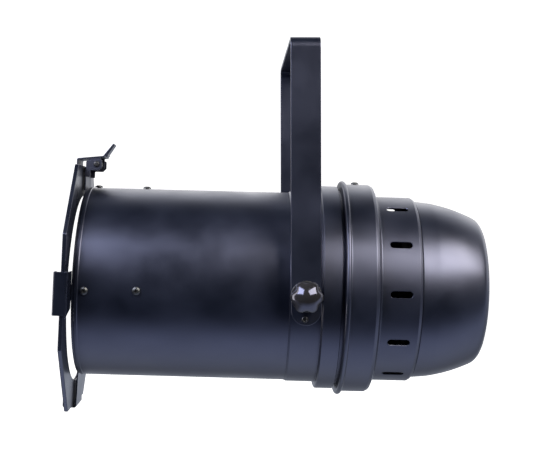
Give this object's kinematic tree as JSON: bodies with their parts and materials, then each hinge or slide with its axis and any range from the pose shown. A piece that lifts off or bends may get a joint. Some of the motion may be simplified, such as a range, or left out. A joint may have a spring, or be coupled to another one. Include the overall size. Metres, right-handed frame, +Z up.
{
  "type": "par can light",
  "caption": "Long-barrelled LED par can stage light in satin black, hung in a U-shaped yoke with clamping knobs, a colour frame in clips and a hooked latch.",
  "frame": {"origin": "centre of the clamp bolt's hole, on the top face of the yoke's crossbar", "axes": "+Z up, beam leaves along -X, +Y to the far side as seen in the picture; the lamp rests tilted 1.8 degrees nose up"},
  "size_m": [0.4382, 0.29, 0.3703],
  "materials": {
    "black_paint": "satin black paint",
    "yoke_paint": "satin black paint",
    "zinc_plate": "zinc plate",
    "black_steel": "blackened steel",
    "black_plastic": "moulded black plastic",
    "clear_glass": "clear",
    "reflector": "polished and anodised",
    "aluminium": "plain aluminium",
    "circuit_board": "green solder mask",
    "led_phosphor": "yellow phosphor",
    "rubber": "matt black",
    "display_red": "dark red window",
    "fibre": "pressed fibre"
  },
  "bodies": {
    "yoke": {"yoke": "yoke_paint", "arm_rivet_near": "black_steel", "arm_rivet_far": "black_steel", "knob_washer_near": "black_steel", "knob_washer_far": "black_steel"},
    "lamp": {"pivot_stud_near": "black_paint", "pivot_stud_far": "black_paint", "friction_washer_near": "fibre", "friction_washer_far": "fibre", "front_barrel": "black_paint", "main_housing": "black_paint", "rear_bell": "black_paint", "vent_ring": "black_paint", "rear_dome": "black_paint", "rear_panel": "black_paint", "colour_frame": "black_paint", "clip_near": "black_paint", "clip_far": "black_paint", "clip_bottom": "black_paint", "latch_bracket": "black_paint", "latch_pin": "black_steel", "latch_spring": "zinc_plate", "front_glass": "clear_glass", "glass_ring": "black_paint", "reflector": "reflector", "led_emitter": "led_phosphor", "led_board": "circuit_board", "bulkhead": "black_paint", "heatsink": "black_paint", "fan_frame": "black_plastic", "driver_tray": "black_paint", "led_driver": "aluminium", "control_board": "circuit_board", "display_window": "display_red", "dmx_in": "black_steel", "dmx_out": "black_steel", "power_inlet": "black_plastic", "fuse_holder": "black_plastic", "panel_screw_1": "zinc_plate", "panel_screw_2": "zinc_plate", "panel_screw_3": "zinc_plate", "rim_screw_near": "zinc_plate", "rim_screw_top": "zinc_plate", "rim_screw_far": "zinc_plate", "glass_screw_near": "zinc_plate", "glass_screw_top": "zinc_plate", "glass_screw_far": "zinc_plate", "bell_screw_top": "zinc_plate"},
    "knob_near": {"knob_near": "black_plastic"},
    "knob_far": {"knob_far": "black_plastic"},
    "latch": {"latch_hook": "black_paint"},
    "fan": {"fan_rotor": "black_plastic"},
    "fuse_cap": {"fuse_cap": "black_plastic"},
    "button_1": {"button_1": "rubber"},
    "button_2": {"button_2": "rubber"},
    "button_3": {"button_3": "rubber"},
    "button_4": {"button_4": "rubber"}
  },
  "joints": [
    {"name": "yoke_tilt", "type": "hinge", "parent": "yoke", "child": "lamp", "pos_m": [0, 0, -0.2484], "axis": [0, 1, 0], "range_deg": [-221.8, 43.2]},
    {"name": "knob_near_turn", "type": "hinge", "parent": "lamp", "child": "knob_near", "pos_m": [0, -0.134, -0.2484], "axis": [0, -1, 0], "continuous": true},
    {"name": "knob_far_turn", "type": "hinge", "parent": "lamp", "child": "knob_far", "pos_m": [0, 0.134, -0.2484], "axis": [0, 1, 0], "continuous": true},
    {"name": "latch_swing", "type": "hinge", "parent": "lamp", "child": "latch", "pos_m": [-0.21099, 0, -0.11751], "axis": [0, 1, 0], "range_deg": [0, 75], "stiffness_Nm_per_rad": 0.06, "springref_deg": -20.05},
    {"name": "fan_spin", "type": "hinge", "parent": "lamp", "child": "fan", "pos_m": [0.10702, 0, -0.24946], "axis": [0.9995, 0, -0.0314], "continuous": true},
    {"name": "fuse_cap_turn", "type": "hinge", "parent": "lamp", "child": "fuse_cap", "pos_m": [0.1798, 0, -0.25775], "axis": [0.9995, 0, -0.0314], "range_deg": [0, 90]},
    {"name": "button_1_press", "type": "slide", "parent": "lamp", "child": "button_1", "axis": [-0.9995, 0, 0.0314], "range_m": [0, 0.001], "stiffness_N_per_m": 400, "springref_m": -0.0008},
    {"name": "button_2_press", "type": "slide", "parent": "lamp", "child": "button_2", "axis": [-0.9995, 0, 0.0314], "range_m": [0, 0.001], "stiffness_N_per_m": 400, "springref_m": -0.0008},
    {"name": "button_3_press", "type": "slide", "parent": "lamp", "child": "button_3", "axis": [-0.9995, 0, 0.0314], "range_m": [0, 0.001], "stiffness_N_per_m": 400, "springref_m": -0.0008},
    {"name": "button_4_press", "type": "slide", "parent": "lamp", "child": "button_4", "axis": [-0.9995, 0, 0.0314], "range_m": [0, 0.001], "stiffness_N_per_m": 400, "springref_m": -0.0008}
  ]
}
